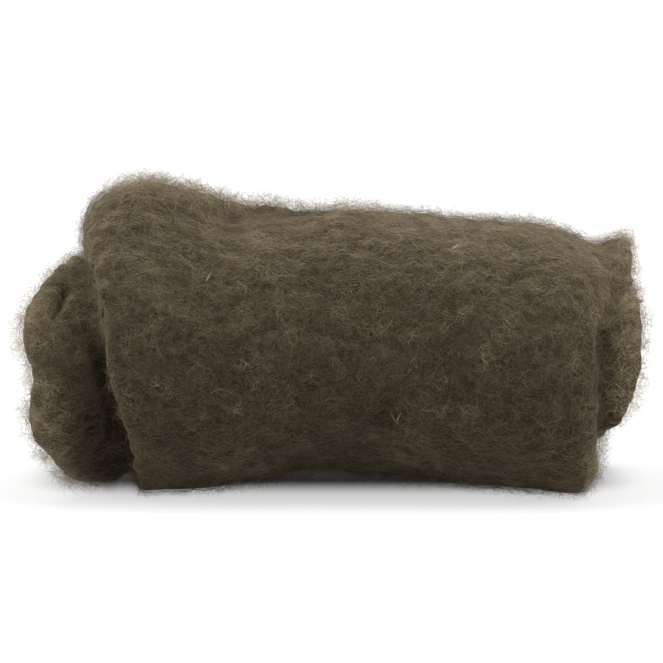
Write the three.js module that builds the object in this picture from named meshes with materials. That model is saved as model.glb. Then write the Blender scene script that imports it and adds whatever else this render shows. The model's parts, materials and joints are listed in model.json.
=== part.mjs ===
// A carded wool batt: one thick, soft sheet of fleece, rolled up and lying on its side.
// Millimetres. X runs along the roll, -Y is its front, +Z is up, and the floor is at z = 0.
import * as THREE from "three";

// The sheet
const layerPitch = 16.5; // what one turn adds to the roll's radius, on average
const layerGap = 2; // air between one turn and the next
const coreRadius = 3; // the first edge, pinched thin at the centre
const centreHole = 0.6;

// How far it is wound, in degrees: 0 is straight up, 90 the front, 180 the floor and 270 the back
const lastTurn = 1460;
const outermostFrom = lastTurn - 360;
const tailThickness = 3; // the torn end thins out to this
const tailThinsFrom = 1310;
const tailRounding = 8; // how far back from its end that thickness is reached
const tornEdge = 0.5; // how much of that is missing: the very end is blunt
const tailSlantsFrom = 1340;

// The sheet's two side edges as it winds outwards. The inner turns have slid out past the last one.
// rounding: how far in from an edge the sheet reaches its full thickness.
// nose: the share of that rounding that the inner face takes.
const windings = [
  { turn: 0, left: -114, right: 122, rounding: 7, nose: 0.4 },
  { turn: 180, left: -120, right: 128, rounding: 9, nose: 0.4 },
  { turn: 360, left: -125, right: 134, rounding: 10, nose: 0.5 },
  { turn: 540, left: -127, right: 137, rounding: 10, nose: 0.5 },
  { turn: 680, left: -124, right: 140, rounding: 11, nose: 0.5 },
  { turn: 735, left: -125, right: 143, rounding: 12, nose: 0.6 },
  { turn: 752, left: -128, right: 145, rounding: 12, nose: 0.65 },
  { turn: 770, left: -135, right: 146, rounding: 12, nose: 0.65 },
  { turn: 785, left: -141, right: 146, rounding: 12, nose: 0.65 },
  { turn: 795, left: -141, right: 145, rounding: 12, nose: 0.65 },
  { turn: 807, left: -135, right: 144, rounding: 12, nose: 0.65 },
  { turn: 820, left: -136, right: 142, rounding: 12, nose: 0.65 },
  { turn: 836, left: -139, right: 138, rounding: 12, nose: 0.65 },
  { turn: 852, left: -134, right: 130, rounding: 12, nose: 0.65 },
  { turn: 870, left: -127, right: 125, rounding: 12, nose: 0.65 },
  { turn: 887, left: -125, right: 123, rounding: 12, nose: 0.6 },
  { turn: 905, left: -122, right: 123, rounding: 12, nose: 0.5 },
  { turn: 950, left: -121, right: 130, rounding: 12, nose: 0.5 },
  { turn: 1000, left: -121, right: 143, rounding: 12, nose: 0.5 },
  { turn: 1040, left: -120, right: 146, rounding: 11, nose: 0.5 },
  { turn: 1075, left: -115, right: 145, rounding: 10, nose: 0.5 },
  { turn: 1095, left: -114, right: 142, rounding: 11, nose: 0.45 },
  { turn: 1112, left: -113, right: 137, rounding: 12, nose: 0.4 },
  { turn: 1126, left: -110, right: 129, rounding: 13, nose: 0.45 },
  { turn: 1140, left: -105, right: 124, rounding: 13, nose: 0.5 },
  { turn: 1160, left: -101, right: 123, rounding: 12, nose: 0.5 },
  { turn: 1182, left: -96, right: 124, rounding: 11, nose: 0.5 },
  { turn: 1200, left: -92, right: 125, rounding: 10, nose: 0.5 },
  { turn: 1220, left: -91, right: 127, rounding: 10, nose: 0.5 },
  { turn: 1245, left: -91, right: 128, rounding: 10, nose: 0.5 },
  { turn: 1285, left: -94, right: 127, rounding: 12, nose: 0.5 },
  { turn: 1340, left: -105, right: 127, rounding: 13, nose: 0.5 },
  { turn: 1400, left: -113, right: 128, rounding: 13, nose: 0.4 },
  { turn: 1440, left: -115, right: 129, rounding: 16, nose: 0.3 },
  { turn: 1460, left: -114, right: 129, rounding: 18, nose: 0.2 },
];

// The roll's outline along its length: heights above the floor, and reaches from its winding axis.
// A base under the floor is pressed flat there.
const outline = [
  { x: -150, top: 136, base: 0, axis: 66, front: 58, back: 69 },
  { x: -117, top: 139, base: -4, axis: 67, front: 61, back: 72 },
  { x: -97, top: 148, base: -6, axis: 69, front: 63, back: 76 },
  { x: -86, top: 149, base: -6, axis: 70, front: 64, back: 77 },
  { x: -76, top: 146, base: -5, axis: 69, front: 64, back: 77 },
  { x: -57, top: 142, base: -2, axis: 67, front: 62, back: 76 },
  { x: -42, top: 138, base: 2, axis: 66, front: 61, back: 74 },
  { x: -29, top: 141, base: 4, axis: 66, front: 60, back: 72 },
  { x: -12, top: 137, base: 6, axis: 65, front: 58, back: 70 },
  { x: 9, top: 142, base: 7, axis: 66, front: 58, back: 69 },
  { x: 30, top: 140, base: 6, axis: 64, front: 59, back: 70 },
  { x: 66, top: 138.5, base: 0, axis: 62, front: 62, back: 73 },
  { x: 100, top: 134, base: -6, axis: 61, front: 65, back: 74 },
  { x: 118, top: 128, base: -5, axis: 59, front: 63, back: 71 },
  { x: 130, top: 121, base: 3, axis: 59, front: 62, back: 70 },
  { x: 150, top: 117, base: 8, axis: 58, front: 60, back: 69 },
];

// Where the torn end lies across the top, in degrees past lastTurn
const tailLine = [
  { x: -150, slant: 0 },
  { x: -117, slant: 0 },
  { x: -95, slant: 2 },
  { x: -78, slant: 3 },
  { x: -64, slant: 0 },
  { x: -52, slant: -8 },
  { x: -40, slant: -19 },
  { x: -22, slant: -34 },
  { x: 5, slant: -45 },
  { x: 35, slant: -50 },
  { x: 65, slant: -52 },
  { x: 95, slant: -48 },
  { x: 120, slant: -50 },
  { x: 150, slant: -52 },
];

// The inner turns where they stand out of the wrap: they swell, drop at the left and spring up at the right.
// from, to: how far past the wrap's edge this starts and is complete.
const slidOut = {
  left: { from: -8, to: 18, swell: 0.6, rise: -1 },
  right: { from: -6, to: 14, swell: 0.66, rise: 3 },
};

// The first fold lies flat, and the turns round it are less so.
const coreFlatness = 0.2;

// Thicker and thinner stretches of the sheet, along its length
const unevenLoft = [
  { size: 1.1, cyclesPerTurn: 1.37, phase: 0.6 },
  { size: 0.6, cyclesPerTurn: 2.6, phase: 3.2 },
];

// Soft swells over the whole roll: size, and cycles along and around it
const swells = [
  { size: 1.3, along: 3.1, around: 2, phase: 0.4 },
  { size: 1.0, along: 5.3, around: -3, phase: 2.1 },
  { size: 0.7, along: 8.7, around: 5, phase: 4.0 },
];
const swellSpan = 300;

// How finely the surface is drawn
const coreTurnStep = 20;
const turnStep = 12;
const tailStops = [9, 6.5, 4, 2, 0.7, 0]; // degrees before the torn end
const edgeStops = [0, 0.07, 0.25, 0.58, 1]; // in from a side edge, as shares of its rounding
const middleFrom = -76; // between these the stops are the outline's own rows
const middleTo = 100;
const leftStops = [0.3, 0.6, 0.82]; // from the left rounding to the middle
const rightStops = [0.4, 0.75]; // from the middle to the right rounding

const { degToRad, euclideanModulo, lerp, smoothstep } = THREE.MathUtils;

// Reads a column of a table at any place, along a smooth curve through its rows.
function read(table, by, at, column) {
  const last = table.length - 1;
  const found = table.findIndex((row, i) => i > 0 && at < row[by]);
  const i = found < 0 ? last : found;
  const slope = (a, b) => (table[b][column] - table[a][column]) / (table[b][by] - table[a][by]);
  const width = table[i][by] - table[i - 1][by];
  const s = THREE.MathUtils.clamp((at - table[i - 1][by]) / width, 0, 1);
  const before = slope(Math.max(i - 2, 0), i) * width;
  const after = slope(i - 1, Math.min(i + 1, last)) * width;
  const [start, end] = [table[i - 1][column], table[i][column]];
  const ease = s * s * (3 - 2 * s);
  return start + (end - start) * ease + before * s * (1 - s) ** 2 - after * s * s * (1 - s);
}

// The spiral's radius at its outer face
function spiral(wound) {
  const turns = wound / 360;
  let radius = coreRadius + layerPitch * turns;
  for (const wave of unevenLoft) {
    const at = 2 * Math.PI * wave.cyclesPerTurn * turns + wave.phase;
    radius += wave.size * Math.sin(at) * Math.min(turns, 1);
  }
  return radius;
}

// How far one turn of the sheet is wound at its place across the roll: the torn end slants.
function woundAt(turn, x) {
  return turn + read(tailLine, "x", x, "slant") * smoothstep(turn, tailSlantsFrom, lastTurn);
}

// What the torn end has lost of its thickness
function thinned(turn) {
  const full = spiral(lastTurn) - spiral(outermostFrom) - layerGap;
  return (full - tailThickness) * smoothstep(turn, tailThinsFrom, lastTurn);
}

// The spiral's outer radius in one direction, without the step at the torn end
function wrapRadius(wound, x) {
  const slant = read(tailLine, "x", x, "slant");
  const end = lastTurn + slant;
  const turnsIn = euclideanModulo(wound - end, 360);
  const around = end - 360 + turnsIn;
  const turn = around - slant * smoothstep(around, tailSlantsFrom, end);
  const step = spiral(end) - thinned(lastTurn) - spiral(end - 360);
  return spiral(around) - thinned(turn) + step * (1 - turnsIn / 360) ** 3;
}

// From the even spiral to the roll as it lies
function place(x, radius, wound) {
  const angle = degToRad(wound);
  const [up, forward] = [Math.cos(angle), Math.sin(angle)];
  const size = (column) => read(outline, "x", x, column);
  const wrapTurn = outermostFrom + euclideanModulo(wound - outermostFrom, 360);
  const { left, right } = slidOut;
  const pastLeft = smoothstep(read(windings, "turn", wrapTurn, "left") - x, left.from, left.to);
  const pastRight = smoothstep(x - read(windings, "turn", wrapTurn, "right"), right.from, right.to);
  const even = radius / wrapRadius(wound, x);
  const share = even * (1 + (left.swell * pastLeft + right.swell * pastRight) * (1 - even ** 2));
  const flat = coreFlatness * Math.max(1 - share, 0);
  const axis = size("axis");
  const reachZ = (up > 0 ? size("top") - axis : axis - size("base")) * (1 - flat);
  const reachY = (forward > 0 ? size("front") : size("back")) * (1 + flat);
  let swell = 0;
  for (const wave of swells) {
    const along = (2 * Math.PI * wave.along * x) / swellSpan;
    swell += wave.size * Math.sin(along + wave.around * angle + wave.phase) * share ** 3;
  }
  const y = -forward * (reachY * share + swell);
  const z = axis + up * (reachZ * share + swell) + left.rise * pastLeft + right.rise * pastRight;
  return new THREE.Vector3(x, y, Math.max(z, 0));
}

// How far the rounded side edges of one turn leave its outer face below the full radius
function edgeDrop(wound, x) {
  const at = (column) => read(windings, "turn", wound, column);
  const inset = THREE.MathUtils.clamp(Math.min(x - at("left"), at("right") - x) / at("rounding"), 0, 1);
  const thickness = spiral(wound) - spiral(wound - 360) - layerGap;
  return thickness * (1 - Math.sqrt(1 - (1 - inset) ** 2)) * (1 - at("nose"));
}

// The batt's two faces at one place: outer and inner, or one point at a side edge.
// inset: 0 at the side edge, 1 where the sheet has its full thickness.
function facesAt(turn, x, inset) {
  const wound = woundAt(turn, x);
  const drape = smoothstep(turn, tailThinsFrom, tailSlantsFrom);
  const lowered = drape > 0 ? drape * edgeDrop(wound - 360, x) : 0;
  const under = wound < 360 ? centreHole : spiral(wound - 360) + layerGap;
  const over = Math.max(spiral(wound) - thinned(turn), under);
  const tailInset = Math.min((degToRad(lastTurn - turn) * over + tornEdge) / tailRounding, 1);
  const full = Math.sqrt((1 - (1 - inset) ** 2) * (1 - (1 - tailInset) ** 2));
  const thinning = (over - under) * (1 - full);
  const nose = read(windings, "turn", turn, "nose");
  return {
    outer: place(x, over - thinning * (1 - nose) - lowered, wound),
    inner: place(x, under + thinning * nose - lowered, wound),
  };
}

// One closed ring of points round the sheet, from its left edge over the outer face and back along the inner one
function ringAt(turn) {
  const left = read(windings, "turn", turn, "left");
  const right = read(windings, "turn", turn, "right");
  const rounding = read(windings, "turn", turn, "rounding");
  const middle = outline.map((row) => row.x).filter((x) => x >= middleFrom && x <= middleTo);
  const full = [
    ...leftStops.map((share) => lerp(left + rounding, middleFrom, share)),
    ...middle,
    ...rightStops.map((share) => lerp(middleTo, right - rounding, share)),
  ];
  const stops = [
    ...edgeStops.map((inset) => ({ x: left + inset * rounding, inset })),
    ...full.map((x) => ({ x, inset: 1 })),
    ...edgeStops.map((inset) => ({ x: right - inset * rounding, inset })).reverse(),
  ];
  const faces = stops.map((stop) => facesAt(turn, stop.x, stop.inset));
  const outside = faces.map((face) => face.outer);
  const inside = faces.map((face) => face.inner).slice(1, -1);
  return [...outside, ...inside.reverse()];
}

function windingStops() {
  const stops = [];
  const endsAt = lastTurn - tailStops[0];
  for (let turn = 0; turn < endsAt - turnStep / 2; turn += turn < 360 ? coreTurnStep : turnStep) {
    stops.push(turn);
  }
  return [...stops, ...tailStops.map((d) => lastTurn - d)];
}

function battGeometry() {
  const rings = windingStops().map(ringAt);
  const count = rings[0].length;
  const faces = [];
  for (let r = 0; r + 1 < rings.length; r++) {
    for (let i = 0; i < count; i++) {
      const [a, b] = [r * count + i, r * count + ((i + 1) % count)];
      faces.push(a, b + count, b, a, a + count, b + count);
    }
  }
  // The first and the torn edge are closed from face to face.
  const across = count / 2;
  for (const [ring, flip] of [[0, false], [rings.length - 1, true]]) {
    const start = ring * count;
    for (let i = 0; i < across; i++) {
      const outer = [start + i, start + i + 1];
      const inner = [start + ((count - i) % count), start + count - i - 1];
      const quad = [outer[0], outer[1], inner[1], outer[0], inner[1], inner[0]];
      for (let t = 0; t < quad.length; t += 3) {
        const corners = quad.slice(t, t + 3);
        if (new Set(corners).size === 3) faces.push(...(flip ? corners.reverse() : corners));
      }
    }
  }
  const geometry = new THREE.BufferGeometry().setFromPoints(rings.flat());
  geometry.setIndex(faces);
  geometry.computeVertexNormals();
  return geometry;
}

const fleece = new THREE.MeshStandardMaterial({ color: "#5b5142", roughness: 1, metalness: 0 });

const batt = new THREE.Mesh(battGeometry(), fleece);
batt.name = "batt";

// The origin is on the floor, under the middle of the roll.
const box = new THREE.Box3().setFromObject(batt);
const middle = box.getCenter(new THREE.Vector3());
batt.position.set(-middle.x, -middle.y, 0);

const roll = new THREE.Group();
roll.add(batt);

export default roll;
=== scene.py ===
# A rolled, carded wool batt: the matted roll, the fibres on it, and the bits of straw that carding leaves.
import json
import math
import random

import bmesh
import bpy
import numpy as np
from mathutils import Euler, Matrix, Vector, noise
from mathutils.bvhtree import BVHTree

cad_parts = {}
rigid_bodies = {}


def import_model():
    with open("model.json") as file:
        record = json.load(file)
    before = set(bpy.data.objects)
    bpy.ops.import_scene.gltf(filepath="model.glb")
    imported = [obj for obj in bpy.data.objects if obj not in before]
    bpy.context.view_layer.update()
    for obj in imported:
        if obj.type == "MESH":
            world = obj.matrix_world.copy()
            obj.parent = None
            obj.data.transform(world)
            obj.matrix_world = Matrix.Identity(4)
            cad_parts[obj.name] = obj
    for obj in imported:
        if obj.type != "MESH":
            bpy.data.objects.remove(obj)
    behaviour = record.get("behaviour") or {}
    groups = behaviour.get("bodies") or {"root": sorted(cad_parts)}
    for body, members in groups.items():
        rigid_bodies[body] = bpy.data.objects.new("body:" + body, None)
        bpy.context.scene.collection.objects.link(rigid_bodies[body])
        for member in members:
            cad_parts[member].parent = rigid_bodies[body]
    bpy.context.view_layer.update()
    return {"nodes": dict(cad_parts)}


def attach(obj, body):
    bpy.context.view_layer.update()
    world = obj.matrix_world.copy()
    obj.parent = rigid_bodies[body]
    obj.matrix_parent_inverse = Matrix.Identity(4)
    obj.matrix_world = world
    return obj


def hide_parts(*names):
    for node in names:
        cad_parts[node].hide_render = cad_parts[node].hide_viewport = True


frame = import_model()
scene = bpy.context.scene


class Wire:  # a socket to reckon with: an expression on it adds its Math nodes
    def __init__(self, graph, socket):
        self.graph = graph
        self.socket = socket

    def math(self, operation, *values):
        return self.graph.add("ShaderNodeMath", {"operation": operation}, dict(enumerate(values)))

    def __add__(self, other):
        return self.math("ADD", self, other)

    def __sub__(self, other):
        return self.math("SUBTRACT", self, other)

    def __rsub__(self, other):
        return self.math("SUBTRACT", other, self)

    def __mul__(self, other):
        return self.math("MULTIPLY", self, other)

    __radd__ = __add__
    __rmul__ = __mul__

    def power(self, other):
        return self.math("POWER", self, other)

    def size(self):
        return self.math("ABSOLUTE", self)

    def most(self, other):
        return self.math("MAXIMUM", self, other)

    def between(self, low, high):  # 0 at low, 1 at high, clamped and eased
        return self.graph.add("ShaderNodeMapRange", {"interpolation_type": "SMOOTHSTEP"},
                              {0: self, 1: low, 2: high})

    def out(self, name):  # another output of the same node
        return Wire(self.graph, self.socket.node.outputs[name])


class Graph:  # adds nodes to a tree: settings first, then the values or links of its sockets
    def __init__(self, tree):
        self.tree = tree

    def add(self, kind, settings=None, sockets=None, output=0):
        node = self.tree.nodes.new(kind)
        for name, value in (settings or {}).items():
            if name == "stops":
                ramp = node.color_ramp
                while len(ramp.elements) < len(value):
                    ramp.elements.new(0.5)
                for element, (place, colour) in zip(ramp.elements, value):
                    element.position = place
                    element.color = (*colour, 1)
            else:
                setattr(node, name, value)
        for key, value in (sockets or {}).items():
            if isinstance(value, Wire):
                self.tree.links.new(value.socket, node.inputs[key])
            else:
                node.inputs[key].default_value = value
        return Wire(self, node.outputs[output]) if len(node.outputs) else None

    def blend(self, share, first, second, way="MIX"):  # two colours
        colours = {6: first, 7: second}
        for key, value in colours.items():
            if not isinstance(value, Wire):
                colours[key] = (*value, 1)
        return self.add("ShaderNodeMix", {"data_type": "RGBA", "blend_type": way}, {0: share, **colours}, 2)

    def clouds(self, place, scale, detail, roughness=0.5, output=0):
        return self.add("ShaderNodeTexNoise", sockets={
            "Vector": place, "Scale": scale, "Detail": detail, "Roughness": roughness}, output=output)

    def vector(self, operation, sockets):
        return self.add("ShaderNodeVectorMath", {"operation": operation}, sockets)

    def parted(self, vector):  # X, with Y and Z as its node's other outputs
        return self.add("ShaderNodeSeparateXYZ", sockets={0: vector})


def newMaterial(name):
    material = bpy.data.materials.new(name)
    material.use_nodes = True
    material.node_tree.nodes.clear()
    return material, Graph(material.node_tree)


cameraView = {
    "distance": 1.25,  # metres, like all lengths here
    "elevation": 8.0,  # degrees
    "aim": (0, 0, 0.0745),
    "lens": 142.97,
    "sensor": 36,
    "picture": 663,  # pixels across and down, for the points of the picture further on
}


def cameraPlace():
    tilt = math.radians(cameraView["elevation"])
    away = Vector((0, -math.cos(tilt), math.sin(tilt)))
    return Vector(cameraView["aim"]) + cameraView["distance"] * away


def cameraTurn():
    return Euler((math.radians(90 - cameraView["elevation"]), 0, 0))


def makeCamera():
    data = bpy.data.cameras.new("camera")
    data.lens = cameraView["lens"]
    data.sensor_width = cameraView["sensor"]
    camera = bpy.data.objects.new("camera", data)
    camera.location = cameraPlace()
    camera.rotation_euler = cameraTurn()
    scene.collection.objects.link(camera)
    scene.camera = camera


def seenAt(tree, across, down):  # where the sight line through a point of the picture meets the roll
    half = cameraView["picture"] / 2
    focal = cameraView["lens"] / cameraView["sensor"] * cameraView["picture"]
    way = cameraTurn().to_matrix() @ Vector(((across - half) / focal, (half - down) / focal, -1))
    place, normal = tree.ray_cast(cameraPlace(), way.normalized())[:2]
    return place, normal


makeCamera()
print("camera set")


rollLook = {
    "weld": 1e-6,
    "swell": 0.0011,  # out along the normals, so that the turns of the sheet close up
    "shrink": 0.0029,  # and in again, which leaves room for the fibres
    "voxel": 0.00165,
    "smoothing": (0.5, 6),  # how far a point moves to its neighbours' middle, and how often
    "axis": 0.066,  # height of the middle of the turns
    "outside": 0.2,  # further from the axis than the roll reaches
    "lineStep": 0.001,  # between places on a line over the roll
    # the torn edge sinks in along here: x, degrees forward from the top
    "easedStep": ((-0.124, 20), (-0.114, 20.5), (-0.104, 21.5), (-0.094, 22), (-0.084, 23),
                  (-0.074, 22.5), (-0.064, 20)),
    "easedReach": 0.012,
    "leastEased": 0.02,  # a share of the easing that is too small to count
    "easing": 60,
    # places filled up, or let down, before that: x and degrees again, by how much, how far round
    "fills": (
        (((-0.112, 26), (-0.102, 27), (-0.092, 27), (-0.082, 27), (-0.072, 26), (-0.063, 22)), 0.0038, 0.010),
        (((-0.100, 6), (-0.090, 6), (-0.080, 5), (-0.070, 4)), -0.0016, 0.010),
    ),
    "lumps": ((0.030, 0.0014), (0.010, 0.0012), (0.0045, 0.0008)),  # size and height of the unevenness
    # where, which way, how far round it
    "pushes": (((-0.102, -0.030, 0.016), (0.003, 0, -0.007), 0.013),
               ((-0.113, -0.008, 0.116), (0.001, 0, 0.005), 0.012)),
    # the lips of the wrap and the top of the right end: points of the picture, which way, how far round
    "lips": (
        (((102, 300), (105, 340), (110, 365), (119, 400), (131, 440), (135, 472)),
         (-0.0036, -0.0008, 0), 0.007),
        (((589, 330), (589, 365), (589, 400)), (0.0042, 0, 0), 0.007),
        (((622, 254), (621, 266), (622, 278)), (0.0046, 0, 0), 0.008),
        (((623, 283), (625, 291)), (0.0038, 0, 0), 0.007),
    ),
    # points of the picture that a hollow or a ridge runs through, its depth and its half width
    "hollows": (
        (((67, 284), (61, 298), (52, 314)), 0.0064, 0.0020),
        (((158, 199), (172, 203), (186, 209), (204, 217)), 0.0012, 0.0015),
        (((87, 266), (90, 285), (93, 306)), 0.0034, 0.0028),
        (((93, 306), (96, 340), (100, 368), (106, 395), (112, 415), (118, 440), (125, 465)), 0.0056, 0.0032),
        (((92, 424), (104, 446), (112, 470)), 0.0050, 0.0100),
        (((604, 330), (603, 365), (602, 400)), 0.0046, 0.0020),
        (((357, 212), (353, 232), (351, 258)), 0.0009, 0.0035),
        (((222, 352), (246, 343), (270, 331), (283, 320)), 0.0008, 0.0030),
        (((442, 352), (470, 322), (500, 292), (528, 270)), 0.0010, 0.0038),
        (((440, 358), (455, 370), (472, 384)), 0.0007, 0.0032),
        (((44, 360), (60, 372), (82, 380)), 0.0016, 0.0030),
        (((632, 262), (622, 274), (612, 282)), 0.0016, 0.0024),
    ),
    "ridges": (
        (((92, 244), (90, 262), (97, 280), (103, 296)), 0.0018, 0.0028),
        (((106, 320), (110, 350), (118, 390), (126, 425)), 0.0012, 0.0034),
        (((230, 334), (254, 326), (276, 313)), 0.0007, 0.0034),
        (((450, 338), (478, 308), (508, 281)), 0.0008, 0.0040),
    ),
    "deep": 0.004,  # a hollow of this depth or more is wholly sunk, so it is thinned of fibres and darkened in full with painted shade
    "restsBelow": 0.006,  # lumps and hollows fade below this height, so that the flat spots stay flat
    "lowest": 0.0004,
}


def aroundAt(tree, x, degrees):  # the roll's surface at x, turned this far forward from the top
    turn = math.radians(degrees)
    way = Vector((0, math.sin(turn), -math.cos(turn)))
    return tree.ray_cast(Vector((x, 0, rollLook["axis"])) - way * rollLook["outside"], way)[:2]


def closeness(places, spots, reach):  # 1 at the spots, and less further off
    apart = np.min(np.linalg.norm(places[:, None] - np.array(spots)[None], axis=2), axis=1)
    return np.exp(-(apart / reach) ** 2)


def surfaceTree(piece):
    return BVHTree.FromObject(piece, bpy.context.evaluated_depsgraph_get())


def placesOf(mesh):
    return np.array([v.co for v in mesh.vertices])


def normalsOf(mesh):
    return np.array([v.normal for v in mesh.vertices])


def movePlaces(mesh, places):
    mesh.vertices.foreach_set("co", places.ravel().astype(np.float32))
    mesh.update()


def applied(piece, name):  # the piece with its modifiers made real, as a plain mesh
    graph = bpy.context.evaluated_depsgraph_get()
    mesh = bpy.data.meshes.new_from_object(piece.evaluated_get(graph), depsgraph=graph)
    mesh.name = name
    piece.modifiers.clear()
    piece.data = mesh
    return piece


def newPiece(name, mesh):
    piece = bpy.data.objects.new(name, mesh)
    scene.collection.objects.link(piece)
    return piece


def largestShell(mesh):  # drops the closed pockets that a remesh leaves inside
    form = bmesh.new()
    form.from_mesh(mesh)
    form.verts.ensure_lookup_table()
    unseen = set(form.verts)
    shells = []
    while unseen:
        shell = [unseen.pop()]
        for vertex in shell:
            for edge in vertex.link_edges:
                other = edge.other_vert(vertex)
                if other in unseen:
                    unseen.remove(other)
                    shell.append(other)
        shells.append(shell)
    shells.sort(key=len)
    bmesh.ops.delete(form, geom=[v for shell in shells[:-1] for v in shell], context="VERTS")
    form.to_mesh(mesh)
    form.free()


def alongLine(tree, line):  # places close together on the roll, through points of the picture
    places = [p for p, normal in (seenAt(tree, *spot) for spot in line) if p]
    found = []
    for start, end in zip(places, places[1:]):
        steps = max(2, int((end - start).length / rollLook["lineStep"]))
        found += [start.lerp(end, step / steps) for step in range(steps)]
    return np.array(found + places[-1:])


def closedRoll():  # the wound sheet with its turns closed up, in even small faces
    mesh = frame["nodes"]["batt"].data.copy()
    form = bmesh.new()
    form.from_mesh(mesh)
    bmesh.ops.remove_doubles(form, verts=form.verts, dist=rollLook["weld"])
    form.normal_update()
    for vertex in form.verts:
        vertex.co += vertex.normal * rollLook["swell"]
    form.to_mesh(mesh)
    form.free()
    roll = newPiece("battRoll", mesh)
    roll.modifiers.new("round", "SUBSURF").levels = 1
    felt = roll.modifiers.new("felt", "REMESH")
    felt.mode = "VOXEL"
    felt.voxel_size = rollLook["voxel"]
    soften = roll.modifiers.new("soften", "SMOOTH")
    soften.factor, soften.iterations = rollLook["smoothing"]
    applied(roll, "battRoll")
    largestShell(roll.data)
    return roll


def easeTornEdge(roll):
    tree = surfaceTree(roll)
    places = placesOf(roll.data)
    normals = normalsOf(roll.data)
    for line, height, reach in rollLook["fills"]:
        share = closeness(places, [aroundAt(tree, *spot)[0] for spot in line], reach)
        places += normals * (share * height)[:, None]
    step = [aroundAt(tree, *spot)[0] for spot in rollLook["easedStep"]]
    eased = closeness(places, step, rollLook["easedReach"])
    movePlaces(roll.data, places)
    weights = roll.vertex_groups.new(name="eased")
    for place in np.flatnonzero(eased > rollLook["leastEased"]):
        weights.add([int(place)], float(eased[place]), "REPLACE")
    ease = roll.modifiers.new("ease", "SMOOTH")
    ease.vertex_group = "eased"
    ease.iterations = rollLook["easing"]
    applied(roll, "battRoll")
    roll.vertex_groups.clear()


def pushPlaces(roll):
    places = placesOf(roll.data)
    for spot, way, reach in rollLook["pushes"]:
        places += closeness(places, [spot], reach)[:, None] * np.array(way)
    tree = surfaceTree(roll)
    for line, way, reach in rollLook["lips"]:
        places += closeness(places, alongLine(tree, line), reach)[:, None] * np.array(way)
    movePlaces(roll.data, places)
    return places


def carveRoll(roll, places):  # lumps, hollows and ridges, and how sunk each place is
    mesh = roll.data
    tree = surfaceTree(roll)
    normals = normalsOf(mesh)
    rise = np.zeros(len(places))
    sunk = np.zeros(len(places))
    for place, vertex in enumerate(mesh.vertices):
        for size, height in rollLook["lumps"]:
            rise[place] += height * noise.noise(vertex.co / size, noise_basis="PERLIN_ORIGINAL")
    for kind, sign in (("hollows", -1), ("ridges", 1)):
        for line, depth, width in rollLook[kind]:
            share = closeness(places, alongLine(tree, line), width)
            rise += sign * depth * share
            if kind == "hollows":
                sunk = np.maximum(sunk, share * min(depth / rollLook["deep"], 1))
    resting = np.clip(places[:, 2] / rollLook["restsBelow"], 0, 1)
    places += normals * (rise * resting - rollLook["shrink"])[:, None]
    places[:, 2] = np.maximum(places[:, 2], rollLook["lowest"])
    movePlaces(mesh, places)
    mesh.polygons.foreach_set("use_smooth", np.ones(len(mesh.polygons), bool))
    mesh.attributes.new("sunk", "FLOAT", "POINT").data.foreach_set("value", sunk.astype(np.float32))


def makeRoll():
    roll = closedRoll()
    easeTornEdge(roll)
    carveRoll(roll, pushPlaces(roll))
    return roll


endsFrom = (0.108, 0.138)  # the ends lighten from the first of these distances to the second: painted rim light
sheenTint = (0.80, 0.66, 0.44, 1)
matLook = {
    # the gap colour: the fleece's own dark brown, deepened as painted shade between the fibres
    "gapShade": (0.017, 0.0120, 0.0064),
    "fibre": (0.056, 0.0420, 0.0230),
    "thread": (0.13, 0.100, 0.056),
    "patch": (0.55, 0.51, 0.44),
    # clouds of noise: scale, detail and, where it isn't 0.5, roughness
    "bends": (150, 2),  # these bend the strokes
    "strokes": (1150, 2),
    "gaps": (330, 3, 0.7),
    "patches": (42, 2),
    "tufts": (130, 2),
    "bentBy": 0.010,
    "drawnOut": (0.28, 1, 1),  # a stroke of fibre is longer than it is wide
    "slants": ((0.3, 0.2, 0.4), (0.5, 1.1, 1.7), (1.3, 0.4, 2.5)),
    # where in its cloud each begins to show, and where it shows in full
    "darkEdge": (0.56, 0.70),
    "lightEdge": (0.58, 0.74),
    "gapEdge": (0.40, 0.60),
    "patchEdge": (0.35, 0.68),
    "tuftEdge": (0.40, 0.66),
    # how strongly each shows
    "gapShare": 0.7,
    "darkShare": 0.35,
    "lightShare": 0.5,
    "patchShare": 0.55,
    "tuftShare": 0.45,
    # painted rim light: how far the ends' colour goes toward the thread colour
    "endRimLight": 0.22,
    # painted shade: the hollows' colour goes toward the gap colour by this share
    "hollowShadeShare": 0.7,
    "bumpDepth": 0.0008,
    "gapBump": 0.6,
    "roughness": 0.95,
    "specular": 0.15,
    "sheen": 0.5,
    "sheenRoughness": 0.5,
}


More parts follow.
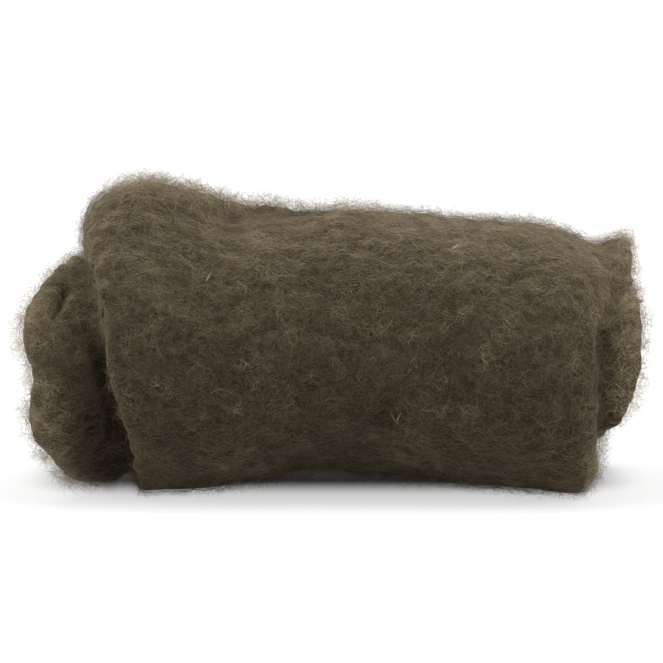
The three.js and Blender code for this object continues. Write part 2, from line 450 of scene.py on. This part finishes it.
def matMaterial():
    material, graph = newMaterial("mattedFleece")
    place = graph.add("ShaderNodeTexCoord", output="Object")
    warp = graph.clouds(place, *matLook["bends"], output="Color")
    warp = graph.vector("SUBTRACT", {0: warp, 1: (0.5, 0.5, 0.5)})
    warp = graph.vector("SCALE", {0: warp, 3: matLook["bentBy"]})
    bent = graph.vector("ADD", {0: place, 1: warp})
    strands = []
    for turn in matLook["slants"]:  # short strokes of fibre, each set on its own slant
        lines = graph.add("ShaderNodeMapping", {"vector_type": "POINT"},
                          {"Vector": bent, "Rotation": turn, "Scale": matLook["drawnOut"]})
        strands.append(graph.clouds(lines, *matLook["strokes"]))
    fibre = strands[0].most(strands[1]).most(strands[2])
    dark = (1 - strands[0]).most(1 - strands[2]).between(*matLook["darkEdge"])
    light = fibre.between(*matLook["lightEdge"])
    gaps = graph.clouds(bent, *matLook["gaps"]).between(*matLook["gapEdge"])
    patch = graph.clouds(place, *matLook["patches"]).between(*matLook["patchEdge"])
    tuft = graph.clouds(place, *matLook["tufts"]).between(*matLook["tuftEdge"])
    # painted shade between the fibres: where the gaps cloud and the dark strokes show, the colour goes toward
    # the gap colour
    full = gaps * matLook["gapShare"] + (1 - matLook["gapShare"])
    colour = graph.blend(full, matLook["gapShade"], matLook["fibre"])
    colour = graph.blend(dark * matLook["darkShare"], colour, matLook["gapShade"])
    colour = graph.blend(light * matLook["lightShare"], colour, matLook["thread"])
    colour = graph.blend(patch * matLook["patchShare"], colour, matLook["patch"], "MULTIPLY")
    colour = graph.blend(tuft * matLook["tuftShare"], colour, matLook["patch"], "MULTIPLY")
    sunk = graph.add("ShaderNodeAttribute", {"attribute_name": "sunk"}, output="Fac")
    ends = graph.parted(place).size().between(*endsFrom)
    # painted rim light: the roll's ends lighter
    colour = graph.blend(ends * matLook["endRimLight"], colour, matLook["thread"])
    # painted shade in the hollows: the more sunk a place, the darker its colour
    colour = graph.blend(sunk * matLook["hollowShadeShare"], colour, matLook["gapShade"])
    bump = graph.add("ShaderNodeBump", sockets={
        "Strength": 1.0, "Distance": matLook["bumpDepth"], "Height": gaps * matLook["gapBump"] + fibre})
    shader = graph.add("ShaderNodeBsdfPrincipled", sockets={
        "Base Color": colour, "Roughness": matLook["roughness"], "Normal": bump,
        "Specular IOR Level": matLook["specular"], "Sheen Weight": matLook["sheen"],
        "Sheen Roughness": matLook["sheenRoughness"], "Sheen Tint": sheenTint})
    graph.add("ShaderNodeOutputMaterial", sockets={"Surface": shader})
    return material


roll = makeRoll()
roll.data.materials.clear()
roll.data.materials.append(matMaterial())
print("roll made", len(roll.data.polygons), "faces")


strandLook = {
    "nap": {"kinds": 30, "length": (0.0030, 0.0075), "width": (0.00010, 0.00016), "rings": 1,
            "curl": 1.1, "lift": 0.0004},
    "mat": {"kinds": 26, "length": (0.005, 0.011), "width": (0.00008, 0.00013), "rings": 2,
            "curl": 1.6, "lift": 0.0007},
    "hair": {"kinds": 20, "length": (0.009, 0.018), "width": (0.00007, 0.00011), "rings": 4,
             "curl": 2.0, "lift": 0.0016},
    "down": {"kinds": 20, "length": (0.004, 0.007), "width": (0.00006, 0.00009), "rings": 1,
             "curl": 2.0, "lift": 0.0016},
    "fuzz": {"kinds": 20, "length": (0.006, 0.013), "width": (0.00006, 0.00009), "rings": 2,
             "curl": 2.8, "lift": 0.0026},
}
strandShape = {
    "bend": (0.3, 1.0),  # share of its curl
    "crimp": (0.1, 0.5),
    "phase": (0, 6.28),
    "crimpWaves": 7,
    "liftWaves": 5,
    "waveLift": 0.5,
    "tipLift": 0.6,
    "taper": 0.25,
    "corners": 3,
}
uvName = "OFBake"  # across: a fibre's tone; along: from its root to its tip
toneFrom = 0.01
toneWidth = 0.012
toneSpan = 0.98 - toneWidth
rootAt = 0.02
rootToTip = 0.96


def strandPath(look, chance):  # its points, about their middle, and the way it heads at each
    length = chance.uniform(*look["length"])
    width = chance.uniform(*look["width"])
    bend = chance.uniform(*strandShape["bend"]) * look["curl"] * chance.choice((-1, 1))
    crimp = chance.uniform(*strandShape["crimp"])
    phase = chance.uniform(*strandShape["phase"])
    parts = look["rings"] + 1
    point = Vector((0, 0, 0))
    path = [point.copy()]
    headings = [0.0]
    for step in range(parts):
        share = (step + 0.5) / parts
        heading = bend * (share - 0.5) + crimp * math.sin(phase + share * strandShape["crimpWaves"])
        point = point + Vector((math.cos(heading), math.sin(heading), 0)) * length / parts
        path.append(point.copy())
        headings.append(heading)
    middle = sum(path, Vector()) / len(path)
    for step, spot in enumerate(path):
        share = step / parts
        wave = math.sin(phase * 2 + share * strandShape["liftWaves"]) * strandShape["waveLift"]
        spot -= middle
        spot.z = look["lift"] * (wave + (2 * share - 1) ** 2 * strandShape["tipLift"])
    return path, headings, width


def strandMesh(name, look, chance):  # one curved, crimped, tapered strand on the XY plane
    path, headings, width = strandPath(look, chance)
    rings = look["rings"]
    corners = strandShape["corners"]
    taper = strandShape["taper"]
    vertices = [path[0]]
    for step in range(1, rings + 1):
        side = Vector((-math.sin(headings[step]), math.cos(headings[step]), 0))
        half = width / 2 * (1 - taper + taper * math.sin(math.pi * step / (rings + 1)))
        for corner in range(corners):
            angle = math.radians(90 + 360 / corners * corner)
            out = side * math.cos(angle) + Vector((0, 0, 1)) * math.sin(angle)
            vertices.append(path[step] + out * half)
    vertices.append(path[-1])
    last = len(vertices) - 1
    faces = [(0, 1 + (corner + 1) % corners, 1 + corner) for corner in range(corners)]
    for step in range(rings - 1):
        start = 1 + corners * step
        for corner in range(corners):
            other = (corner + 1) % corners
            faces.append((start + corner, start + other, start + corners + other, start + corners + corner))
    ring = last - corners
    faces += [(last, ring + corner, ring + (corner + 1) % corners) for corner in range(corners)]
    mesh = bpy.data.meshes.new(name)
    mesh.from_pydata([tuple(v) for v in vertices], [], faces)
    form = bmesh.new()
    form.from_mesh(mesh)
    bmesh.ops.recalc_face_normals(form, faces=form.faces)
    layer = form.loops.layers.uv.new(uvName)
    for face in form.faces:
        for loop in face.loops:
            tip = loop.vert.index in (0, last)
            row = (loop.vert.index + corners - 1) // corners
            side = 0.5 if tip else (loop.vert.index - 1) % corners / corners
            loop[layer].uv = (toneWidth * side, rootAt + rootToTip * row / (rings + 1))
    form.to_mesh(mesh)
    form.free()
    return mesh


def strandKinds(kind):
    look = strandLook[kind]
    chance = random.Random(kind)
    kinds = bpy.data.collections.new(kind + "Kinds")
    for place in range(look["kinds"]):
        name = f"{kind}{place}"
        kinds.objects.link(bpy.data.objects.new(name, strandMesh(name, look, chance)))
    return kinds


looseLook = {
    "tones": (
        (0.0, (0.022, 0.0155, 0.0085)),
        (0.35, (0.043, 0.0320, 0.0173)),
        (0.62, (0.082, 0.0625, 0.0350)),
        (0.82, (0.17, 0.134, 0.078)),
        (1.0, (0.42, 0.34, 0.215)),
    ),
    "dim": (0.70, 0.66, 0.60),  # a fibre is a little darker half-way along
    "dimEdge": (0.62, 0.1),
    "dimShare": 0.22,
    "roughness": 0.62,
    "specular": 0.3,
    "sheen": 0.35,
    "sheenRoughness": 0.4,
}


def strandMaterial():
    material, graph = newMaterial("looseFleece")
    parts = graph.parted(graph.add("ShaderNodeUVMap", {"uv_map": uvName}))
    tone = graph.add("ShaderNodeValToRGB", {"stops": looseLook["tones"]}, {"Fac": parts})
    dim = (parts.out("Y") - 0.5).size().between(*looseLook["dimEdge"]) * looseLook["dimShare"]
    colour = graph.blend(dim, tone, looseLook["dim"], "MULTIPLY")
    shader = graph.add("ShaderNodeBsdfPrincipled", sockets={
        "Base Color": colour, "Roughness": looseLook["roughness"],
        "Specular IOR Level": looseLook["specular"], "Sheen Weight": looseLook["sheen"],
        "Sheen Roughness": looseLook["sheenRoughness"], "Sheen Tint": sheenTint})
    graph.add("ShaderNodeOutputMaterial", sockets={"Surface": shader})
    return material


scatterLook = {
    "bareHollows": 0.92,  # share of its fibres that a deep hollow lacks
    "clumps": (190, 2),  # noise again: scale, detail and, for the tones, roughness
    "clumpEdge": (0.38, 0.62),
    "inClumps": 1.3,
    "everywhere": 0.35,  # share of the fibres that lie outside the clumps too
    "tones": (95, 3, 0.68),
    # painted shade: fibres in the hollows are darkened by this share of how sunk they are
    "hollowShadeOnFibres": 0.7,
    # painted rim light: how much lighter the fibres are at the ends and in the wispy places
    "endRimLightOnFibres": 0.12,
    "wispRimLight": 0.16,
    "picks": 1000,  # more than there are kinds of strand
    "lowest": 0.0002,  # no fibre goes below this
}
scatterInputs = (
    ("Geometry", "Geometry"), ("Strands per square metre", "Float"), ("Seed", "Int"),
    ("Least lift", "Float"), ("Most lift", "Float"), ("Lean", "Float"), ("Least scale", "Float"),
    ("Most scale", "Float"), ("Darkest", "Float"), ("Lightest", "Float"), ("Patchiness", "Float"),
    ("Only where wispy", "Float"), ("Strand kinds", "Collection"), ("Finish", "Material"))


def scatterTree():
    tree = bpy.data.node_groups.new("scatterStrands", "GeometryNodeTree")
    tree.is_modifier = True
    graph = Graph(tree)
    for name, kind in scatterInputs:
        tree.interface.new_socket(name, in_out="INPUT", socket_type="NodeSocket" + kind)
    tree.interface.new_socket("Geometry", in_out="OUTPUT", socket_type="NodeSocketGeometry")
    given = graph.add("NodeGroupInput")
    inputs = {name: given.out(name) for name, kind in scatterInputs}

    def chance(low, high, turn):
        return graph.add("FunctionNodeRandomValue", {"data_type": "FLOAT"},
                         {2: low, 3: high, 8: inputs["Seed"] + turn}, 1)

    def stored(name, kind="FLOAT"):
        return graph.add("GeometryNodeInputNamedAttribute", {"data_type": kind}, {"Name": name})

    place = graph.add("GeometryNodeInputPosition")
    points, normal = scatteredPoints(graph, inputs, chance, stored, place)
    kinds = graph.add("GeometryNodeCollectionInfo", sockets={
        "Collection": inputs["Strand kinds"], "Separate Children": True, "Reset Children": True})
    pick = graph.add("FunctionNodeRandomValue", {"data_type": "INT"},
                     {4: 0, 5: scatterLook["picks"], 8: inputs["Seed"] + 6}, 2)
    scattered = graph.add("GeometryNodeInstanceOnPoints", sockets={
        "Points": points, "Instance": kinds, "Pick Instance": True, "Instance Index": pick,
        "Rotation": strandTurn(graph, inputs, chance, normal),
        "Scale": chance(inputs["Least scale"], inputs["Most scale"], 7)})
    strands = graph.add("GeometryNodeRealizeInstances", sockets={"Geometry": scattered})
    across = graph.parted(stored(uvName, "FLOAT_VECTOR"))
    spot = graph.add("ShaderNodeCombineXYZ", sockets={
        0: across + stored("tone") * toneSpan + toneFrom, 1: across.out("Y")})
    strands = graph.add("GeometryNodeStoreNamedAttribute", {"data_type": "FLOAT2", "domain": "CORNER"},
                        {"Geometry": strands, "Name": uvName, "Value": spot})
    for name in ("tone", "wispy", "sunk"):
        strands = graph.add("GeometryNodeRemoveAttribute", sockets={"Geometry": strands, "Name": name})
    above = graph.vector("MAXIMUM", {0: place, 1: (-1, -1, scatterLook["lowest"])})
    strands = graph.add("GeometryNodeSetPosition", sockets={"Geometry": strands, "Position": above})
    strands = graph.add("GeometryNodeSetShadeSmooth", sockets={"Geometry": strands})
    finish = inputs["Finish"]
    strands = graph.add("GeometryNodeSetMaterial", sockets={"Geometry": strands, "Material": finish})
    graph.add("NodeGroupOutput", sockets={0: strands})
    return tree


def scatteredPoints(graph, inputs, chance, stored, place):  # more in clumps, fewer in hollows
    wispy = stored("wispy")
    sunk = stored("sunk")
    allowed = 1 - inputs["Only where wispy"] * (1 - wispy)
    clumps = graph.clouds(place, *scatterLook["clumps"]).between(*scatterLook["clumpEdge"])
    density = inputs["Strands per square metre"] * allowed * (1 - sunk * scatterLook["bareHollows"])
    density = density * (clumps * scatterLook["inClumps"] + scatterLook["everywhere"])
    points = graph.add("GeometryNodeDistributePointsOnFaces", {"distribute_method": "RANDOM"}, {
        "Mesh": inputs["Geometry"], "Density": density, "Seed": inputs["Seed"]})
    normal = points.out("Normal")
    cloud = (graph.clouds(place, *scatterLook["tones"]) - 0.5) * inputs["Patchiness"]
    ends = graph.parted(place).size().between(*endsFrom)
    tone = chance(inputs["Darkest"], inputs["Lightest"], 1) + cloud
    # painted shade: fibres darker in the hollows
    tone = tone * (1 - sunk * scatterLook["hollowShadeOnFibres"])
    # painted rim light: fibres lighter at the roll's ends and in the wispy places along its outline
    tone = tone + ends * scatterLook["endRimLightOnFibres"] + wispy * scatterLook["wispRimLight"]
    tone = graph.add("ShaderNodeClamp", sockets={0: tone})
    toned = graph.add("GeometryNodeStoreNamedAttribute", {"data_type": "FLOAT", "domain": "POINT"},
                      {"Geometry": points, "Name": "tone", "Value": tone})
    raised = graph.vector("SCALE", {0: normal, 3: chance(inputs["Least lift"], inputs["Most lift"], 2)})
    return graph.add("GeometryNodeSetPosition", sockets={"Geometry": toned, "Offset": raised}), normal


def strandTurn(graph, inputs, chance, normal):  # flat on the roll, turned any way, and leaning a little
    flat = graph.add("FunctionNodeAlignRotationToVector", {"axis": "Z"}, {"Vector": normal})
    spin = graph.add("FunctionNodeAxisAngleToRotation", sockets={
        "Axis": (0, 0, 1), "Angle": chance(0.0, 2 * math.pi, 3)})
    lean = graph.add("ShaderNodeCombineXYZ", sockets={
        0: chance(-1.0, 1.0, 4) * inputs["Lean"], 1: chance(-1.0, 1.0, 5) * inputs["Lean"]})
    lean = graph.add("FunctionNodeEulerToRotation", sockets={0: lean})
    turned = flat
    for turn in (spin, lean):
        turned = graph.add("FunctionNodeRotateRotation", {"rotation_space": "LOCAL"},
                           {"Rotation": turned, "Rotate By": turn})
    return turned


fibreLayers = {
    "deepNap": {"kind": "nap", "strands": 8000, "seed": 11, "lift": (0.0000, 0.0006), "lean": 0.08,
                "scale": (0.85, 1.15), "tones": (0.27, 0.48), "patchiness": 3.1},
    "upperNap": {"kind": "nap", "strands": 24000, "seed": 23, "lift": (0.0003, 0.0014), "lean": 0.14,
                 "scale": (0.8, 1.1), "tones": (0.35, 0.58), "patchiness": 3.1},
    "mattedFibres": {"kind": "mat", "strands": 14500, "seed": 37, "lift": (0.0008, 0.0022), "lean": 0.18,
                     "scale": (0.8, 1.15), "tones": (0.41, 0.68), "patchiness": 3.0},
    "longHairs": {"kind": "hair", "strands": 2400, "seed": 53, "lift": (0.0010, 0.0030), "lean": 0.20,
                  "scale": (0.8, 1.2), "tones": (0.45, 0.93), "patchiness": 0.6},
    "shortDown": {"kind": "down", "strands": 28000, "seed": 61, "lift": (0.0008, 0.0032), "lean": 0.9,
                  "scale": (0.8, 1.2), "tones": (0.44, 0.84), "patchiness": 1.6},
    "fringe": {"kind": "fuzz", "strands": 15500, "seed": 71, "lift": (0.0012, 0.0042), "lean": 1.15,
               "scale": (0.7, 1.2), "tones": (0.54, 0.90), "patchiness": 0.9},
    "wisps": {"kind": "fuzz", "strands": 6300, "seed": 89, "lift": (0.0010, 0.0064), "lean": 0.9,
              "scale": (0.8, 1.4), "tones": (0.56, 0.94), "patchiness": 0.3, "bySpots": True},
}

# where the fleece is wispiest: points of the picture with the reach of each, and places round the torn edge
wispySpots = {
    "seen": (
        ((130, 190), 0.010), ((150, 188), 0.013), ((180, 194), 0.013), ((200, 200), 0.010),
        ((225, 207), 0.008), ((270, 209), 0.007), ((350, 210), 0.005), ((626, 243), 0.005),
        ((626, 270), 0.007), ((629, 292), 0.006), ((594, 486), 0.006), ((598, 470), 0.005),
        ((26, 315), 0.008), ((28, 345), 0.008), ((34, 380), 0.008), ((34, 415), 0.008),
        ((46, 448), 0.008), ((66, 470), 0.006), ((60, 270), 0.007), ((637, 310), 0.008),
        ((637, 345), 0.008), ((634, 378), 0.008), ((624, 405), 0.007), ((594, 452), 0.007),
    ),
    "torn": ((-0.045, 4), (-0.025, -12), (-0.008, -21), (0.012, -26), (0.035, -30), (0.060, -32),
             (0.085, -29), (0.110, -29)),
    "tornSteps": 4,  # between two such places
    "tornReach": 0.0045,
}


def markWispy(roll):  # a weight at each vertex, and the area that it adds up to
    tree = surfaceTree(roll)
    places = placesOf(roll.data)
    weight = np.zeros(len(places))
    for spot, reach in wispySpots["seen"]:
        found = seenAt(tree, *spot)[0]
        if found:
            weight = np.maximum(weight, closeness(places, [found], reach))
    torn = []
    for start, end in zip(wispySpots["torn"], wispySpots["torn"][1:]):
        for share in np.arange(wispySpots["tornSteps"]) / wispySpots["tornSteps"]:
            torn.append(aroundAt(tree, *(np.array(start) + share * np.subtract(end, start)))[0])
    weight = np.maximum(weight, closeness(places, torn, wispySpots["tornReach"]))
    mark = roll.data.attributes.new("wispy", "FLOAT", "POINT")
    mark.data.foreach_set("value", weight.astype(np.float32))
    return sum(face.area * np.mean(weight[list(face.vertices)]) for face in roll.data.polygons)


def makeFibres(name, layer, tree, kinds, finish, area):
    piece = newPiece(name, roll.data.copy())
    scatter = piece.modifiers.new("scatter", "NODES")
    scatter.node_group = tree
    values = {
        "Strands per square metre": layer["strands"] / area, "Seed": layer["seed"],
        "Least lift": layer["lift"][0], "Most lift": layer["lift"][1], "Lean": layer["lean"],
        "Least scale": layer["scale"][0], "Most scale": layer["scale"][1], "Darkest": layer["tones"][0],
        "Lightest": layer["tones"][1], "Patchiness": layer["patchiness"],
        "Only where wispy": 1.0 if layer.get("bySpots") else 0.0, "Strand kinds": kinds, "Finish": finish}
    for socket in tree.interface.items_tree:
        if socket.in_out == "INPUT" and socket.name in values:
            scatter[socket.identifier] = values[socket.name]
    applied(piece, name)
    print(name, sum(len(face.vertices) - 2 for face in piece.data.polygons), "triangles")
    return piece


tree = scatterTree()
looseFinish = strandMaterial()
rollArea = sum(face.area for face in roll.data.polygons)
wispyArea = markWispy(roll)
kindsMade = {kind: strandKinds(kind) for kind in strandLook}
fibres = [makeFibres(name, layer, tree, kindsMade[layer["kind"]], looseFinish,
                     wispyArea if layer.get("bySpots") else rollArea)
          for name, layer in fibreLayers.items()]
roll.data.attributes.remove(roll.data.attributes["wispy"])
for kinds in kindsMade.values():
    for strand in list(kinds.objects):
        bpy.data.objects.remove(strand)
    bpy.data.collections.remove(kinds)


strawLook = {
    # bits in sight: a point of the picture, the slant there in degrees, length, width, tone
    "seen": (((209, 277), 70, 0.0052, 0.0011, 0.22), ((455, 247), 58, 0.0036, 0.0012, 0.55),
             ((394, 417), 112, 0.0070, 0.0006, 0.50), ((400, 418), 66, 0.0065, 0.0006, 0.60)),
    "unseen": 13,  # more of them at the back and underneath
    "unseenAlong": (-0.1, 0.11),
    "unseenTurn": (-150, -10),  # degrees forward from the top, so these go back
    "length": (0.003, 0.009),
    "width": (0.0005, 0.0011),
    "tone": (0.1, 1),
    "toneSpan": 0.97,
    "lift": 0.0003,  # they lie among the loose fibres
    "liftSpread": 0.0001,
    "bend": 0.12,
    "least": 0.45,  # share of its width that it has all along: the rest swells as half a wave
    "cutOff": 0.12,  # of that half wave, at each end
    "ragged": (0.85, 1.1),
    "flat": 0.4,
    "rings": 5,
    "sides": 6,
    "seed": 5,
    "tones": (
        (0.0, (0.13, 0.078, 0.036)),
        (0.35, (0.29, 0.19, 0.115)),
        (0.65, (0.33, 0.26, 0.135)),
        (1.0, (0.42, 0.35, 0.21)),
    ),
    "grain": (14, 3),
    "grainEdge": (0.4, 0.65),
    "grainShare": 0.5,
    "grainTone": (0.55, 0.45, 0.33),
    "roughness": 0.5,
    "specular": 0.35,
}


def strawBit(form, layer, place, normal, way, length, width, tone, chance):  # a flat, bent, ragged splinter
    way = (way - normal * way.dot(normal)).normalized()
    side = normal.cross(way)
    bend = chance.uniform(-strawLook["bend"], strawLook["bend"]) * length
    off = strawLook["cutOff"]
    rings = []
    for step in range(strawLook["rings"]):
        share = step / (strawLook["rings"] - 1)
        swelling = math.sin(math.pi * (off + (1 - 2 * off) * share))
        wide = width / 2 * (strawLook["least"] + (1 - strawLook["least"]) * swelling)
        wide *= chance.uniform(*strawLook["ragged"])
        centre = place + way * length * (share - 0.5) + side * bend * math.sin(math.pi * share)
        spread = chance.uniform(-strawLook["liftSpread"], strawLook["liftSpread"])
        centre += normal * (strawLook["lift"] + spread)
        ring = []
        for corner in range(strawLook["sides"]):
            angle = 2 * math.pi * corner / strawLook["sides"]
            out = side * wide * math.cos(angle) + normal * wide * strawLook["flat"] * math.sin(angle)
            ring.append(form.verts.new(centre + out))
        rings.append(ring)
    faces = [form.faces.new(rings[0][::-1]), form.faces.new(rings[-1])]
    for first, second in zip(rings, rings[1:]):
        for corner in range(len(first)):
            other = (corner + 1) % len(first)
            faces.append(form.faces.new((first[corner], first[other], second[other], second[corner])))
    rows = {vertex: step for step, ring in enumerate(rings) for vertex in ring}
    for face in faces:
        for number, loop in enumerate(face.loops):
            across = toneWidth * (number + 0.5) / len(face.loops)
            along = rootAt + rootToTip * rows[loop.vert] / (len(rings) - 1)
            loop[layer].uv = (toneFrom + tone * strawLook["toneSpan"] + across, along)


def makeStraw():
    chance = random.Random(strawLook["seed"])
    tree = surfaceTree(roll)
    form = bmesh.new()
    layer = form.loops.layers.uv.new(uvName)
    for spot, slant, length, width, tone in strawLook["seen"]:
        place, normal = seenAt(tree, *spot)
        turn = math.radians(slant)
        way = Vector((math.cos(turn), 0, math.sin(turn)))
        strawBit(form, layer, place, normal, way, length, width, tone, chance)
    for number in range(strawLook["unseen"]):
        along = chance.uniform(*strawLook["unseenAlong"])
        place, normal = aroundAt(tree, along, chance.uniform(*strawLook["unseenTurn"]))
        way = Vector([chance.uniform(-1, 1) for axis in range(3)])
        length = chance.uniform(*strawLook["length"])
        width = chance.uniform(*strawLook["width"])
        tone = chance.uniform(*strawLook["tone"])
        strawBit(form, layer, place, normal, way, length, width, tone, chance)
    bmesh.ops.recalc_face_normals(form, faces=form.faces)
    mesh = bpy.data.meshes.new("strawBits")
    form.to_mesh(mesh)
    form.free()
    return newPiece("strawBits", mesh)


def strawMaterial():
    material, graph = newMaterial("straw")
    spot = graph.add("ShaderNodeUVMap", {"uv_map": uvName})
    tone = graph.add("ShaderNodeValToRGB", {"stops": strawLook["tones"]}, {"Fac": graph.parted(spot)})
    grain = graph.clouds(spot, *strawLook["grain"]).between(*strawLook["grainEdge"])
    colour = graph.blend(grain * strawLook["grainShare"], tone, strawLook["grainTone"], "MULTIPLY")
    shader = graph.add("ShaderNodeBsdfPrincipled", sockets={
        "Base Color": colour, "Roughness": strawLook["roughness"],
        "Specular IOR Level": strawLook["specular"]})
    graph.add("ShaderNodeOutputMaterial", sockets={"Surface": shader})
    return material


straw = makeStraw()
straw.data.materials.append(strawMaterial())
print("straw made", len(straw.data.polygons), "faces")


studio = {
    "floor": 0.20,
    "floorSeen": 0.30,
    "floorGlow": 0.60,  # it glows for the camera, but not over a painted soft shadow under the roll
    "glowColour": (0.995, 0.99, 0.985, 1),
    "floorHalf": 30,
    # a painted contact shadow on the floor: the patch under the roll where the glow is left out
    "shadowPatchAt": 0.024,  # how far back its middle is
    "shadowPatchHalf": (0.112, 0.009),
    "shadowPatchFade": 0.042,
    "sky": 0.64,
    "skySeen": 1.2,
    # soft lights: degrees from overhead to the front, degrees along the roll, strength
    "lamps": ((5, -80, 4.4), (8, -34, 0.9), (8, 0, 1.0), (8, 34, 0.9), (5, 80, 4.4)),
    "lampWidth": 40,
}


def makeFloor():
    material, graph = newMaterial("floor")
    looked = graph.add("ShaderNodeLightPath", output="Is Camera Ray")
    pale = graph.blend(looked, [studio["floor"]] * 3, [studio["floorSeen"]] * 3)
    paper = graph.add("ShaderNodeBsdfDiffuse", sockets={"Color": pale})
    place = graph.parted(graph.add("ShaderNodeTexCoord", output="Object"))
    # painted shadow: the glow is left out over a patch under the roll and fades back in around it
    across = (place.size() - studio["shadowPatchHalf"][0]).most(0)
    along = ((place.out("Y") - studio["shadowPatchAt"]).size() - studio["shadowPatchHalf"][1]).most(0)
    away = (across * across + along * along).power(0.5).between(0, studio["shadowPatchFade"])
    glow = graph.add("ShaderNodeEmission", sockets={
        "Color": studio["glowColour"], "Strength": looked * away * studio["floorGlow"]})
    shader = graph.add("ShaderNodeAddShader", sockets={0: paper, 1: glow})
    graph.add("ShaderNodeOutputMaterial", sockets={"Surface": shader})
    mesh = bpy.data.meshes.new("floor")
    half = studio["floorHalf"]
    mesh.from_pydata([(-half, -half, 0), (half, -half, 0), (half, half, 0), (-half, half, 0)],
                     [], [(0, 1, 2, 3)])
    mesh.materials.append(material)
    return newPiece("floor", mesh)


def makeSky():
    world = bpy.data.worlds.new("world")
    world.use_nodes = True
    world.node_tree.nodes.clear()
    sky = Graph(world.node_tree)
    seen = sky.add("ShaderNodeLightPath", output="Is Camera Ray") * (studio["skySeen"] - studio["sky"])
    light = sky.add("ShaderNodeBackground", sockets={
        "Color": (1, 1, 1, 1), "Strength": seen + studio["sky"]})
    sky.add("ShaderNodeOutputWorld", sockets={"Surface": light})
    scene.world = world


def hangLamps():
    for tilt, lean, strength in studio["lamps"]:
        lamp = bpy.data.lights.new("lamp", "SUN")
        lamp.energy = strength
        lamp.angle = math.radians(studio["lampWidth"])
        hung = bpy.data.objects.new("lamp", lamp)
        hung.rotation_euler = Euler((math.radians(tilt), math.radians(lean), 0))
        scene.collection.objects.link(hung)


floor = makeFloor()
makeSky()
hangLamps()
scene.view_settings.view_transform = "Standard"
print("studio set")


for piece in [roll, straw, *fibres]:
    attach(piece, "root")
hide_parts("batt")
